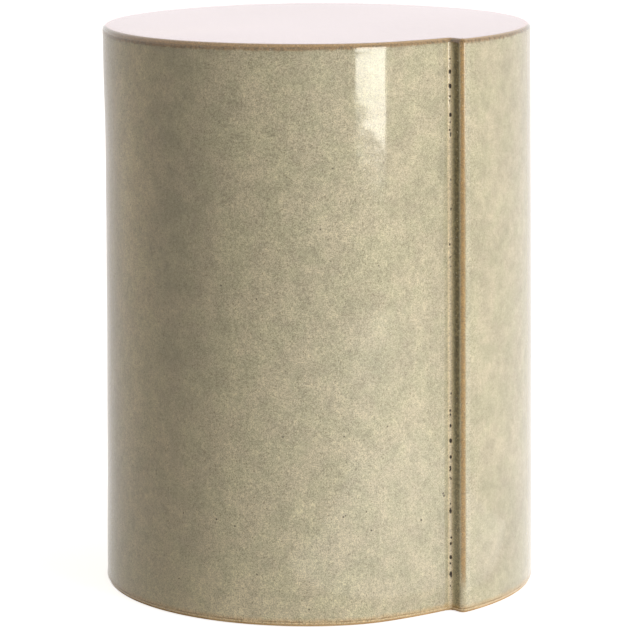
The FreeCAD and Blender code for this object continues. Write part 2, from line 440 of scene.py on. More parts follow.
def filled(ring, spacing):
    """Triangles that fill a closed plan ring, and the extra plan points that they need."""
    low = ring.min(axis=0)
    high = ring.max(axis=0)
    inner = []
    row_step = spacing * math.sqrt(3) / 2
    for j, y in enumerate(np.arange(low[1], high[1], row_step)):
        for x in np.arange(low[0] + (j % 2) * spacing / 2, high[0], spacing):
            if np.hypot(*(ring - (x, y)).T).min() > 0.6 * spacing:
                inner.append((x, y))
    corners = [Vector(p) for p in ring.tolist() + inner]
    edges = [(i, (i + 1) % len(ring)) for i in range(len(ring))]
    result = delaunay_2d_cdt(corners, edges, [], 1, A_HAIR)
    faces, sources = result[2:4]
    number = [min(source) for source in sources]
    triangles = [[number[i] for i in face] for face in faces]
    used = sorted({i for t in triangles for i in t if i >= len(ring)})
    renumber = {old: len(ring) + k for k, old in enumerate(used)}
    triangles = [[renumber.get(i, i) for i in t] for t in triangles]
    extra = np.array([corners[i][:] for i in used]).reshape(-1, 2)
    return extra, triangles


class Skin:
    """Points and faces gathered for one piece."""

    def __init__(self):
        self.points = []
        self.count = 0
        self.faces = []

    def add(self, points):
        """Adds points and returns their numbers."""
        first = self.count
        self.points.append(np.asarray(points, float))
        self.count += len(points)
        return np.arange(first, self.count)

    def all_points(self):
        """Every point so far."""
        return np.concatenate(self.points)

    def band(self, lower, upper, inward=False):
        """Faces between two closed rings of as many points."""
        for i in range(len(lower)):
            j = (i + 1) % len(lower)
            face = [lower[i], lower[j], upper[j], upper[i]]
            self.faces.append([int(v) for v in (face[::-1] if inward else face)])

    def cap(self, ring, spacing, upward):
        """Faces that close a level ring. Returns the numbers of the points inside it."""
        corners = self.all_points()[ring]
        extra, triangles = filled(corners[:, :2], spacing)
        inner = self.add(level(extra, corners[0, 2]))
        numbers = np.concatenate([ring, inner])
        for t in triangles:
            face = [int(numbers[i]) for i in t]
            self.faces.append(face if upward else face[::-1])
        return inner

    def close(self, rings, low_spacing, high_spacing):
        """Faces between rings one above another and over both ends. Returns the underside's points."""
        for lower, upper in zip(rings, rings[1:]):
            self.band(lower, upper)
        under = self.cap(rings[0], low_spacing, upward=False)
        self.cap(rings[-1], high_spacing, upward=True)
        return under


def new_object(name, data):
    """An object in the scene."""
    made = bpy.data.objects.new(name, data)
    bpy.context.scene.collection.objects.link(made)
    return made


def new_mesh(name, points, faces, material):
    """A mesh with one material."""
    mesh = bpy.data.meshes.new(name)
    mesh.from_pydata(points.tolist(), [], faces)
    mesh.materials.append(material)
    return mesh


def add_piece(name, points, faces, material, stands_for, sharp_angle=None):
    """A smooth-shaded mesh piece that rides on the stool and stands for a CAD node."""
    mesh = new_mesh(name, points, faces, material)
    mesh.shade_smooth()
    if sharp_angle is not None:
        mesh.set_sharp_from_angle(angle=math.radians(sharp_angle))
    piece = new_object(name, mesh)
    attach(piece, "root")
    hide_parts(stands_for)
    return piece


def add_attribute(piece, name, values):
    """A number at each point of a piece, for its material to read."""
    attribute = piece.data.attributes.new(name, "FLOAT", "POINT")
    attribute.data.foreach_set("value", np.asarray(values, np.float32))


# Materials


class Tree:
    """A node tree under construction. Most calls add a node and return its output."""

    def __init__(self, owner):
        """Starts on the node tree of a material or a world."""
        owner.use_nodes = True
        self.nodes = owner.node_tree.nodes
        self.links = owner.node_tree.links

    def connect(self, value, socket):
        """Links an output to a socket, or sets a plain number or colour on it."""
        if isinstance(value, bpy.types.NodeSocket):
            self.links.new(value, socket)
        elif isinstance(value, (tuple, list)) and len(value) == 3 and socket.type == "RGBA":
            socket.default_value = (*value, 1.0)
        else:
            socket.default_value = value

    def node(self, kind, inputs=None, **settings):
        """A new node with its settings, its inputs linked or set by their names or numbers."""
        made = self.nodes.new("ShaderNode" + kind)
        for name, setting in settings.items():
            setattr(made, name, setting)
        for socket, value in (inputs or {}).items():
            self.connect(value, made.inputs[socket])
        return made

    def math(self, operation, *values, clamp=False):
        """A sum of one kind on some values."""
        made = self.node("Math", dict(enumerate(values)), operation=operation, use_clamp=clamp)
        return made.outputs["Value"]

    def band(self, distance, low, high, start=0.0, end=1.0):
        """A ramp between two distances in millimetres."""
        return self.ramp(distance, low * MM, high * MM, start, end)

    def times(self, first, *others):
        """The product of some values."""
        for other in others:
            first = self.math("MULTIPLY", first, other)
        return first

    def ramp(self, value, low, high, start=0.0, end=1.0):
        """A smooth step from start, where value is low, to end, where it is high."""
        inputs = {"Value": value, "From Min": low, "From Max": high, "To Min": start, "To Max": end}
        return self.node("MapRange", inputs, interpolation_type="SMOOTHSTEP").outputs["Result"]

    def mix(self, share, first, second, blend="MIX"):
        """A colour with a share of a second one over it."""
        inputs = {"Factor": share, 6: first, 7: second}
        return self.node("Mix", inputs, data_type="RGBA", blend_type=blend).outputs[2]

    def split(self, vector, axis):
        """One coordinate of a vector."""
        return self.node("SeparateXYZ", {"Vector": vector}).outputs[axis]


class Paint(Tree):
    """A piece's procedural material under construction."""

    def __init__(self, name):
        self.material = bpy.data.materials.new(name)
        super().__init__(self.material)
        self.shader = self.nodes["Principled BSDF"]
        self.place = self.node("TexCoord").outputs["Object"]

    def moved(self, shift, scale):
        """The piece's own coordinates, moved and scaled."""
        inputs = {"Vector": self.place, "Location": shift, "Scale": scale}
        return self.node("Mapping", inputs).outputs["Vector"]

    def noise(self, size, detail=2.0, roughness=0.5, seed=0.0, stretch=(1, 1, 1)):
        """Noise about 0.5, with patches of about one size."""
        place = self.moved((seed, seed * 0.7, seed * 0.3), [s / size for s in stretch])
        inputs = {"Vector": place, "Scale": 1.0, "Detail": detail, "Roughness": roughness}
        return self.node("TexNoise", inputs).outputs["Fac"]

    def specks(self, spacing, size, share, seed=0.0):
        """Round specks, 1 at their middles, in some share of cells of one spacing."""
        place = self.moved((seed, seed, seed), [1 / spacing] * 3)
        cell = self.node("TexVoronoi", {"Vector": place, "Scale": 1.0})
        draw = self.node("SeparateColor", {"Color": cell.outputs["Color"]})
        chosen = self.math("LESS_THAN", draw.outputs["Red"], share)
        least = size / spacing / 4
        width = self.math("MULTIPLY_ADD", draw.outputs["Green"], 2 * least, least)
        inside = self.math("SUBTRACT", width, cell.outputs["Distance"])
        return self.times(self.math("DIVIDE", inside, width, clamp=True), chosen)

    def vector(self, operation, *values):
        """The outputs of a sum of one kind on some vectors."""
        return self.node("VectorMath", dict(enumerate(values)), operation=operation).outputs

    def spot(self, angle, height, width):
        """A round spot, 1 at its middle, where a level line from the axis meets the wall."""
        above = self.vector("SUBTRACT", self.place, (0, 0, height))
        aside = self.vector("CROSS_PRODUCT", above["Vector"], (*toward(angle), 0))
        apart = self.vector("LENGTH", aside["Vector"])
        return self.ramp(apart["Value"], width * 0.5, width * 0.2)

    def attribute(self, name):
        """A number that the piece has at each point."""
        return self.node("Attribute", attribute_name=name).outputs["Fac"]

    def bump(self, value, depth, under=None):
        """Normals tilted by a relief of some depth, over earlier normals if there are any."""
        inputs = {"Height": value, "Distance": depth, "Strength": 1.0}
        if under is not None:
            inputs["Normal"] = under
        return self.node("Bump", inputs).outputs["Normal"]

    def finish(self, colour, roughness, normal, **others):
        """Connects the shader, and links or sets its other inputs on their own sockets."""
        inputs = {"Base Color": colour, "Roughness": roughness, "Normal": normal}
        inputs.update({name.replace("_", " "): value for name, value in others.items()})
        for socket, value in inputs.items():
            self.connect(value, self.shader.inputs[socket])
        return self.material


def rgb(red, green, blue):
    """A colour given as screen values from 0 to 255, as the linear values that a shader takes."""
    values = np.array([red, green, blue]) / 255
    linear = np.where(values <= 0.04045, values / 12.92, ((values + 0.055) / 1.055) ** 2.4)
    return tuple(float(v) for v in linear)


# Glaze colours
SAGE = rgb(187, 181, 155)
MOSS = rgb(177, 175, 146)
SAND = rgb(190, 180, 157)
DARK_SPECK = rgb(104, 94, 70)
PALE_SPECK = rgb(232, 226, 204)
BREAK_BROWN = rgb(184, 147, 92)
BREAK_DARK = rgb(150, 119, 74)
RIM_GOLD = rgb(204, 166, 112)
RIM_TAN = rgb(162, 130, 86)
RIM_DARK = rgb(134, 108, 70)
CREASE_CREAM = rgb(226, 210, 178)
# The step's olive: a thicker glaze's colour, darkened with painted shade from the crease
STEP_OLIVE_SHADED = rgb(126, 115, 82)
STEP_DARK_SHADED = rgb(100, 92, 66)
POOLED = rgb(220, 215, 198)
# The pinholes and the pits are painted this near black as the shade inside them
PIT_SHADE_BLACK = rgb(40, 27, 15)
FOOT_TAN = rgb(206, 172, 118)
FOOT_LINE = rgb(142, 112, 68)
FOOT_PALE = rgb(222, 199, 158)

# Clay colours
CLAY = rgb(212, 184, 142)
CLAY_DARK = rgb(188, 156, 114)
CLAY_PALE = rgb(226, 204, 168)
GROG = rgb(92, 66, 44)

# Widths of the glaze's bands
RIM_BROWN = 6.3 * MM
RIM_SLANT = 1.5 * MM
RIM_FRINGE = 9 * MM
FOOT_FADE = 6 * MM
POOL_WIDTH = 3.5 * MM

# Patches where the glaze is made paler or darker: plan angle, height, half width in degrees, half
# height and how much paler it is there. The one at -59 degrees is painted light, a bright band down
# the left side, and the one at -36 degrees is painted shade, a dark band beside it. The rest only
# make the glaze paler or darker there.
TONE_AND_LIGHT_PATCHES = (
    (-59, 330, 11, 260, 1.36),
    (-36, 330, 13, 200, 0.83),
    (-20, 80, 22, 70, 1.05),
    (14, 200, 11, 55, 0.95),
    (60, 70, 16, 40, 0.9),
    (20, 120, 30, 60, 1.03),
    (-12, 0, 45, 34, 1.2),
)

# How strong the fine specks are at some plan angles
SPECK_STRENGTH = (
    (-180, 0.8), (-60, 0.75), (-40, 0.75), (-22, 1.0), (8, 1.0),
    (25, 0.8), (43, 0.8), (50, 0.42), (100, 0.42), (180, 0.8),
)

# Pinholes in the front, painted dark as the shade inside them: plan angle, height above the floor
# and width, in millimetres
DARK_SPOTS = (
    (38.2, 94, 2.6), (37.9, 96, 2.4), (30.3, 78, 2.5), (19.7, 155.5, 1.7),
    (7.6, 150.5, 1.8), (-8.2, 150.5, 1.7), (7.3, 87.5, 2.2), (7.9, 88.5, 1.7),
    (14.9, 75.5, 2.0), (13.5, 90.5, 1.8), (1.7, 310.5, 1.8), (5.0, 356.5, 1.7),
    (-24.6, 265.5, 2.0), (-14.9, 256.5, 1.8), (-36.5, 83.5, 1.8), (-26.3, 82.5, 2.1),
    (-21.1, 78.5, 1.8), (-15.2, 41.5, 2.0), (-38.0, 30.5, 1.8), (-1.7, 15, 1.8),
)


def glaze_marks(paint, step_end, edge_end):
    """The noises, distances and masks that the glaze's colours and its relief share."""
    marks = SimpleNamespace()
    marks.clouds = paint.noise(15 * MM, detail=3, roughness=0.55, seed=3.1)
    marks.flecks = paint.noise(2.6 * MM, detail=2, roughness=0.6, seed=1.3)
    marks.grain = paint.noise(0.8 * MM, detail=1, roughness=0.5, seed=2.9)
    marks.holes = paint.specks(17 * MM, 1.5 * MM, 0.1, seed=4.2)
    marks.ragged = paint.math("MULTIPLY_ADD", paint.noise(5 * MM, detail=3, seed=6.6), 3 * MM, -1.5 * MM)
    marks.before = paint.attribute("before_seam")
    marks.after = paint.attribute("after_seam")
    marks.below_rim = paint.attribute("below_rim")
    marks.pit = paint.attribute("pit")
    marks.height = paint.math("SUBTRACT", paint.split(paint.place, "Z"), GLAZE_FOOT_Z)
    marks.foot_line = paint.math("ADD", marks.height, marks.ragged)
    past_seam = paint.band(marks.before, 0.4, 0.1)
    marks.on_step = paint.times(
        paint.band(marks.after, 4.6, 8.6),
        paint.ramp(marks.after, step_end + 2.2 * MM, step_end - 0.4 * MM),
        past_seam,
    )
    marks.in_pool = paint.times(
        paint.ramp(marks.after, edge_end - 1.5 * MM, edge_end),
        paint.ramp(marks.after, edge_end + POOL_WIDTH * 1.4, edge_end + POOL_WIDTH * 0.6),
        past_seam,
    )
    edge_line = paint.math("MULTIPLY_ADD", marks.ragged, 0.5, marks.after)
    marks.on_edge = paint.times(
        paint.ramp(edge_line, step_end + 0.8 * MM, step_end + 2.6 * MM),
        paint.ramp(marks.after, edge_end - 0.6 * MM, edge_end - 2.1 * MM),
        past_seam,
        paint.band(marks.foot_line, 12, 34, 0.1, 1.0),
    )
    return marks


def mottled_ground(paint, marks):
    """The sage ground with its clouds and broad patches, and the patches of painted light and shade."""
    drift = paint.noise(55 * MM, detail=2, roughness=0.5, seed=8.4)
    patches = paint.noise(6.5 * MM, detail=2, roughness=0.5, seed=4.6)
    tint = paint.noise(24 * MM, detail=2, roughness=0.6, seed=5.7)
    colour = paint.mix(paint.ramp(tint, 0.36, 0.64), MOSS, SAND)
    colour = paint.mix(0.6, colour, SAGE)
    shade = paint.times(
        paint.ramp(marks.clouds, 0.3, 0.7, 0.9, 1.08),
        paint.ramp(drift, 0.3, 0.7, 0.96, 1.04),
        paint.ramp(patches, 0.3, 0.7, 0.95, 1.05),
        paint.attribute("tone_and_painted_light"),
    )
    return paint.mix(1.0, colour, shade, "MULTIPLY")


def seam_glaze(paint, marks, colour):
    """The olive step, a thicker glaze darkened with painted shade from the crease, and the pale glaze
    that pools beside it and in the crease.
    """
    step_depth = paint.band(marks.height, 10, 200, 0.5, 1.0)
    # Partly painted shade: the step face is darkened as if the crease shaded it
    step_olive_and_shade = paint.mix(paint.ramp(marks.flecks, 0.38, 0.62), STEP_DARK_SHADED, STEP_OLIVE_SHADED)
    colour = paint.mix(paint.times(marks.on_step, step_depth), colour, step_olive_and_shade)
    colour = paint.mix(paint.times(marks.in_pool, 0.15), colour, POOLED)
    beside_crease = paint.times(paint.band(marks.before, 9, 2), paint.band(marks.after, 2, 1))
    colour = paint.mix(paint.times(beside_crease, 0.1), colour, POOLED)
    in_crease = paint.times(paint.band(marks.before, 1.2, 0.2), paint.band(marks.after, 6.2, 3.8))
    return paint.mix(paint.times(in_crease, 0.72), colour, CREASE_CREAM)


def thin_glaze(paint, marks, colour):
    """The tan foot, and the brown where the glaze runs thin over the cut edge and the rim."""
    on_foot = paint.ramp(marks.foot_line, FOOT_FADE, 1.5 * MM)
    colour = paint.mix(paint.times(on_foot, 0.55), colour, FOOT_TAN)
    edge_brown = paint.mix(paint.ramp(marks.flecks, 0.4, 0.62), BREAK_BROWN, BREAK_DARK)
    colour = paint.mix(paint.times(marks.on_edge, 0.85), colour, edge_brown)

    rim_line = paint.math("ADD", marks.below_rim, marks.ragged)
    on_rim = paint.times(
        paint.ramp(rim_line, RIM_BROWN + 1.4 * MM, RIM_BROWN - 0.8 * MM),
        paint.band(marks.below_rim, -5, -2),
    )
    rim_brown = paint.mix(paint.ramp(marks.flecks, 0.4, 0.62), RIM_TAN, RIM_DARK)
    rim_brown = paint.mix(paint.band(marks.below_rim, 5.0, 2.6), rim_brown, RIM_GOLD)
    colour = paint.mix(paint.times(on_rim, 0.9), colour, rim_brown)
    fringe = paint.times(
        paint.ramp(rim_line, RIM_FRINGE + 2 * MM, RIM_BROWN),
        paint.band(marks.below_rim, 3, 5),
        paint.ramp(marks.flecks, 0.46, 0.6),
    )
    return paint.mix(paint.times(fringe, 0.45), colour, DARK_SPECK)


def foot_lip(paint, marks, colour):
    """The glaze's lip at the foot: a broken dark line over a pale edge."""
    lip_line = paint.math("MULTIPLY_ADD", marks.ragged, 0.35, marks.height)
    line = paint.times(
        paint.band(lip_line, 2.7, 2.0),
        paint.band(lip_line, 1.1, 1.6),
        paint.ramp(marks.clouds, 0.42, 0.58, 0.15, 0.75),
    )
    colour = paint.mix(line, colour, FOOT_LINE)
    return paint.mix(paint.band(lip_line, 1.6, 1.0, 0.0, 0.8), colour, FOOT_PALE)


def specked(paint, marks, colour):
    """The flecks, the grain and the specks, then the pinholes and the pits in painted shade."""
    dark_specks = paint.specks(1.9 * MM, 1.2 * MM, 0.34, seed=7.7)
    pale_specks = paint.specks(2.1 * MM, 1.1 * MM, 0.28, seed=3.4)
    strength = paint.math("MAXIMUM", paint.attribute("speckled"), marks.on_step)
    colour = paint.mix(strength, colour, paint.ramp(marks.flecks, 0.3, 0.7, 0.88, 1.12), "MULTIPLY")
    colour = paint.mix(strength, colour, paint.ramp(marks.grain, 0.3, 0.7, 0.72, 1.26), "MULTIPLY")
    dark_share = paint.times(paint.ramp(dark_specks, 0.0, 0.5, 0.0, 0.46), strength)
    colour = paint.mix(dark_share, colour, DARK_SPECK)
    pale_share = paint.times(paint.ramp(pale_specks, 0.0, 0.5, 0.0, 0.34), strength)
    colour = paint.mix(pale_share, colour, PALE_SPECK)

    # Painted shade: the pinholes and the pits drawn near black, as the shade inside them
    pinhole_shade = paint.ramp(marks.holes, 0.0, 0.5)
    for angle, height, width in DARK_SPOTS:
        pinhole_shade = paint.math("MAXIMUM", pinhole_shade, paint.spot(angle, height * MM, width * MM))
    colour = paint.mix(paint.times(pinhole_shade, 0.8), colour, PIT_SHADE_BLACK)
    return paint.mix(paint.ramp(marks.pit, 0.02, 0.3), colour, PIT_SHADE_BLACK)


def glaze_material(step_end, edge_end):
    """Mottled sage glaze that breaks brown over edges and pools pale beside them."""
    paint = Paint("sage_glaze")
    marks = glaze_marks(paint, step_end, edge_end)
    colour = mottled_ground(paint, marks)
    for add_layer in (seam_glaze, thin_glaze, foot_lip, specked):
        colour = add_layer(paint, marks, colour)
    normal = paint.bump(paint.noise(7 * MM, detail=1, seed=9.2), 0.07 * MM)
    normal = paint.bump(marks.grain, 0.03 * MM, under=normal)
    normal = paint.bump(paint.times(marks.holes, -1), 0.4 * MM, under=normal)
    dull = paint.math("MAXIMUM", paint.times(marks.on_edge, 0.7), paint.ramp(marks.pit, 0.0, 0.2))
    roughness = paint.ramp(marks.flecks, 0.3, 0.7, 0.07, 0.12)
    roughness = paint.math("MAXIMUM", roughness, paint.times(dull, 0.45))
    shine = paint.math("MULTIPLY_ADD", dull, -0.6, 0.6)
    return paint.finish(colour, roughness, normal, Coat_Weight=shine, Coat_Roughness=0.03)


def clay_material():
    """Bare buff stoneware with grog and a dry, scraped surface."""
    paint = Paint("bare_clay")
    clouds = paint.noise(22 * MM, detail=4, roughness=0.6, seed=2.2)
    grit = paint.noise(1.2 * MM, detail=3, roughness=0.7, seed=7.5)
    grog = paint.specks(3.2 * MM, 0.9 * MM, 0.4, seed=1.9)
    drag = paint.noise(2.4 * MM, detail=2, seed=4.8, stretch=(0.12, 0.12, 1.0))
    colour = paint.mix(paint.ramp(clouds, 0.32, 0.68), CLAY_DARK, CLAY)
    colour = paint.mix(paint.ramp(grit, 0.5, 0.75, 0, 0.6), colour, CLAY_PALE)
    colour = paint.mix(paint.ramp(grog, 0.0, 0.4, 0, 0.75), colour, GROG)
    normal = paint.bump(drag, 0.25 * MM)
    normal = paint.bump(grit, 0.22 * MM, under=normal)
    return paint.finish(colour, paint.ramp(grit, 0.3, 0.7, 0.8, 0.95), normal, Specular_IOR_Level=0.25)


def rubber_material():
    """Dark moulded rubber with a fine grain."""
    paint = Paint("pad_rubber")
    grain = paint.noise(0.6 * MM, detail=2, seed=3.3)
    dust = paint.noise(4 * MM, detail=3, seed=1.1)
    colour = paint.mix(paint.ramp(dust, 0.4, 0.75), rgb(34, 33, 32), rgb(62, 59, 55))
    normal = paint.bump(grain, 0.08 * MM)
    return paint.finish(colour, paint.ramp(dust, 0.3, 0.7, 0.6, 0.8), normal)


def adhesive_material():
    """Off-white mounting film."""
    paint = Paint("pad_film")
    streaks = paint.noise(1.5 * MM, detail=2, seed=6.1, stretch=(1.0, 0.2, 1.0))
    colour = paint.mix(paint.ramp(streaks, 0.35, 0.7), rgb(214, 210, 198), rgb(188, 182, 166))
    normal = paint.bump(streaks, 0.03 * MM)
    return paint.finish(colour, paint.ramp(streaks, 0.3, 0.7, 0.35, 0.5), normal)


# Glaze

# Pits in the crease: the height of each above the floor and its width, in millimetres. The
# glaze pulled away over air in the joint there.
LARGE_PITS = (
    (424, 2.6), (413, 3.1), (391, 2.7), (149, 2.0), (137, 2.9),
    (124, 2.4), (81, 2.6), (55, 2.0), (44, 2.6), (31, 2.7),
)
# Stretches of the crease with small pits: from one height to another, and how many
SMALL_PIT_RUNS = ((374, 434, 9), (255, 345, 5), (100, 176, 12), (14, 90, 10))
SMALL_PIT_WIDTH = (1.0, 1.6)
LARGE_PIT_SCATTER = 0.3 * MM
SMALL_PIT_SCATTER = 0.7 * MM
PIT_DEPTH = 0.5 * MM
PIT_STRETCH = 1.35
PIT_REACH = 6 * MM
PIT_SEED = 11
LEAST_GLAZE = 0.12 * MM

# The coat's waves: the height, length and seed of each kind, and how much lower the coat lies for
# them. They die out near the foot, the rim and the crease.
GLAZE_WAVES = ((0.05 * MM, 14 * MM, 1.0), (0.22 * MM, 60 * MM, 2.0))
WAVES_SINK = 0.19 * MM
CALM_FOOT = (GLAZE_FOOT_Z + 1 * MM, GLAZE_FOOT_Z + 6 * MM)
CALM_RIM = (0.0, 6 * MM)
CALM_CREASE = (1 * MM, 8 * MM)

# The lip above the bare foot: how far it stands off the clay and its height, in millimetres
LIP_SECTION = ((0.0, 0.0), (0.35, 0.02), (0.65, 0.22), (0.78, 0.6), (0.78, 1.1), (0.72, 1.8), (0.66, 2.8))
LIP_SWELL = 9 * MM
LIP_SHARE = 0.82


def crease_pits():
    """Every pit in the crease as its place from the crease's middle, its height and its width."""
    draw = random.Random(PIT_SEED)
    pits = []
    for height, width in LARGE_PITS:
        place = draw.uniform(-LARGE_PIT_SCATTER, LARGE_PIT_SCATTER)
        pits.append((place, height * MM, width * MM))
    for low, high, count in SMALL_PIT_RUNS:
        for _ in range(count):
            place = draw.uniform(-SMALL_PIT_SCATTER, SMALL_PIT_SCATTER)
            width = draw.uniform(*SMALL_PIT_WIDTH) * MM
            pits.append((place, draw.uniform(low, high) * MM, width))
    return pits


def pit_shares(along, heights):
    """How deep in a pit each point lies, from 0 outside to 1 at a pit's middle."""
    shares = np.zeros(len(along))
    near = np.abs(along) < PIT_REACH
    for place, height, width in crease_pits():
        gap = np.hypot(along[near] - place, (heights[near] - height) / PIT_STRETCH)
        share = np.clip(1 - (gap / (width / 2)) ** 2, 0, 1)
        shares[near] = np.maximum(shares[near], share)
    return shares


def tone_and_painted_light(points):
    """How much paler each point is for the patches, painted light and shade among them."""
    angles = angles_of(points)
    paler = np.ones(len(points))
    for middle, height, half_width, half_height, change in TONE_AND_LIGHT_PATCHES:
        aside = off_angle(angles, middle) / half_width
        apart = (points[:, 2] - height * MM) / (half_height * MM)
        paler *= 1 + (change - 1) * bell(aside) * bell(apart)
    return paler


def speck_strength(points):
    """How strong the fine specks are at each point."""
    angles, shares = zip(*SPECK_STRENGTH)
    return np.interp(angles_of(points), angles, shares)


def seam_distances(outline, places):
    """How far places on the outline lie before and after the seam, up to FAR."""
    half = outline.length / 2
    before = np.where(places < half, 0, np.minimum(outline.length - places, FAR))
    after = np.where(places > half, 0, np.minimum(places, FAR))
    far = (before == FAR) | (after == FAR)
    return np.where(far, FAR, before), np.where(far, FAR, after)


def below_rim(points):
    """How far each point of the wall lies below the seat's edge along the glaze, a little aslant."""
    over = np.clip((points[:, 2] - RIM_FOOT_Z) / GLAZE_RIM_RADIUS, 0, 1)
    on_rim = GLAZE_RIM_RADIUS * (math.pi / 2 - np.arcsin(over))
    on_wall = np.maximum(RIM_FOOT_Z - points[:, 2], 0)
    return on_rim + on_wall + RIM_SLANT * points[:, 0] / DRUM_RADIUS


def glaze_section():
    """The rows of the glaze's outer face from its lip up over the rim: depths and heights."""
    rows = [(depth * MM, GLAZE_FOOT_Z + height * MM) for depth, height in LIP_SECTION]
    start = rows[-1][1]
    for z in np.linspace(start, RIM_FOOT_Z, round((RIM_FOOT_Z - start) / ROW) + 1)[1:]:
        swell = float(smooth_step(z, start, start + LIP_SWELL))
        rows.append((GLAZE * (LIP_SHARE + (1 - LIP_SHARE) * swell), z))
    return rows + rim_section(GLAZE_RIM_RADIUS, TOP_Z, RIM_ROWS, stand_off=GLAZE)


class GlazeSkin(Skin):
    """The glaze's points and faces, with the places and depths of its outer face's points."""

    def __init__(self, outline):
        super().__init__()
        self.outline = outline
        step_start, _, self.edge_end = outline.ends[:3]
        self.columns = graded(outline.length, self.spacing_at)
        before, after = seam_distances(outline, self.columns)
        self.fine_columns = np.flatnonzero((before < FINE_REACH) & (after < step_start + 1 * MM))
        self.places = []
        self.depths = []

    def spacing_at(self, place):
        """How close together the columns are: finest over the seam."""
        from_seam = np.minimum(np.maximum(place - self.edge_end, 0), self.outline.length - place)
        return np.clip(FINEST + GROWTH * from_seam, FINEST, COARSEST)

    def ring(self, places, depth, height):
        """A ring of the outer face, or the part of one over the crease. Returns its numbers."""
        self.places.append(places)
        self.depths.append(np.full(len(places), depth))
        return self.add(in_plan(self.outline, places, depth, height)).tolist()

    def outer_face(self):
        """The face that shows, with finer rows in the crease. Returns its first and last ring."""
        rows = glaze_section()
        grid = [self.ring(self.columns, depth, height) for depth, height in rows]
        between = {}
        for r in range(len(LIP_SECTION), len(rows) - RIM_ROWS - 1):
            (depth, height), (next_depth, next_height) = rows[r], rows[r + 1]
            for share in np.arange(1, FINE_SPLIT) / FINE_SPLIT:
                numbers = self.ring(
                    self.columns[self.fine_columns],
                    depth + (next_depth - depth) * share,
                    height + (next_height - height) * share,
                )
                for c, number in zip(self.fine_columns, numbers):
                    between.setdefault((r, c), []).append(number)
        for r, (lower, upper) in enumerate(zip(grid, grid[1:])):
            for c in range(len(lower)):
                d = (c + 1) % len(lower)
                left = [lower[c]] + between.get((r, c), []) + [upper[c]]
                right = [lower[d]] + between.get((r, d), []) + [upper[d]]
                if len(left) > 2 and len(right) > 2:
                    self.faces += [list(face) for face in zip(left, right, right[1:], left[1:])]
                else:
                    self.faces.append(left[:1] + right + left[:0:-1])
        return grid[0], grid[-1]

    def inner_face(self, lower):
        """The face that lies on the clay, from the lip's ring up. Returns its last ring."""
        wall = np.linspace(GLAZE_FOOT_Z, SEAT_TOP_Z - RIM_RADIUS, INNER_ROWS + 1)[1:]
        rows = [(0.0, z) for z in wall] + rim_section(RIM_RADIUS, SEAT_TOP_Z, INNER_RIM_ROWS)
        for depth, height in rows:
            upper = self.add(in_plan(self.outline, self.columns, depth, height))
            self.band(lower, upper, inward=True)
            lower = upper
        return lower


def glaze_waves(points, from_crease):
    """How far the glaze swells or sinks at each point, calm at its foot, rim and crease."""
    z = points[:, 2]
    lively = smooth_step(z, *CALM_FOOT) * smooth_step(RIM_FOOT_Z - z, *CALM_RIM)
    lively *= smooth_step(from_crease, *CALM_CREASE)
    waves = sum(height * ripple(points, length, seed) for height, length, seed in GLAZE_WAVES)
    return (waves - WAVES_SINK) * lively


def make_glaze(outline):
    """The glaze as a closed skin: its outer face, its lip and the face that lies on the clay."""
    skin = GlazeSkin(outline)
    first, last = skin.outer_face()
    skin.cap(last, SEAT_SPACING, upward=True)
    outer_count = skin.count
    skin.cap(skin.inner_face(first), 3 * SEAT_SPACING, upward=False)

    points = skin.all_points()
    places = np.concatenate(skin.places)
    wall = points[: len(places)]
    before, after = seam_distances(outline, places)
    along = np.where(after > 0, after, -before) - outline.ends[0] / 2
    pit = pit_shares(along, wall[:, 2])
    move = glaze_waves(wall, np.maximum(before, after)) - PIT_DEPTH * np.sqrt(pit)
    upright = wall[:, 2] < RIM_FOOT_Z + A_HAIR
    deepest = np.where(upright, np.minimum(0, LEAST_GLAZE - np.concatenate(skin.depths)), 0)
    move = np.maximum(move, deepest)
    moved = points.copy()
    moved[: len(wall), :2] += outline.at(places)[1] * move[:, None]

    def whole(values, on_seat, inside):
        """A number for every point: the wall's own, the seat's and the inner face's."""
        seat = np.full(outer_count - len(wall), on_seat)
        return np.concatenate([values, seat, np.full(skin.count - outer_count, inside)])

    material = glaze_material(outline.ends[1], outline.ends[2])
    piece = add_piece("glaze_skin", handmade(moved), skin.faces, material, "glaze_coat")
    add_attribute(piece, "before_seam", whole(before, FAR, FAR))
    add_attribute(piece, "after_seam", whole(after, FAR, FAR))
    add_attribute(piece, "below_rim", whole(below_rim(wall), -10 * MM, FAR))
    add_attribute(piece, "pit", whole(pit, 0, 0))
    # Patches that make the glaze paler or darker, painted light and shade among them
    add_attribute(piece, "tone_and_painted_light", tone_and_painted_light(points))
    add_attribute(piece, "speckled", speck_strength(points))


# Clay

# How wide the dents of a palm and of a fingertip are, and how deep the second are beside the first
PALM_DENT = 26 * MM
TIP_DENT = 9 * MM
TIP_DEPTH = 0.5
TIP_SEED = 4

# The outer foot edge's rounding: shares of its radius inward and up
FOOT_ROUNDING = ((1.0, 0.0), (0.3, 0.3), (0.0, 1.0))
FIRST_CLAY_ROW = FOOT_Z + 3 * MM
DENTED_FROM = FOOT_Z + 4 * MM
DENTED_TO = WALL_TOP_Z - 2 * MM

# The seat slab's mesh, and how its underside is pressed up and dented inside the coil
SEAT_COLUMNS = 3 * MM
SEAT_FIRST_ROW = 6 * MM
UNDERSIDE_SPACING = 7 * MM
UNDER_GLAZE_SPACING = 14 * MM
SEAT_PRESS = 0.5 * MM
SEAT_DENTS = 0.6 * MM
SEAT_DENT_WIDTH = 30 * MM
SEAT_PRESS_EDGE = 8 * MM


def worked(points, normals, amount, seed):
    """Clay points pressed in and out a little along their normals, as fingers leave them."""
    dents = ripple(points, PALM_DENT, seed) + TIP_DEPTH * ripple(points, TIP_DENT, seed + TIP_SEED)
    return points + normals * (amount * dents)[:, None]


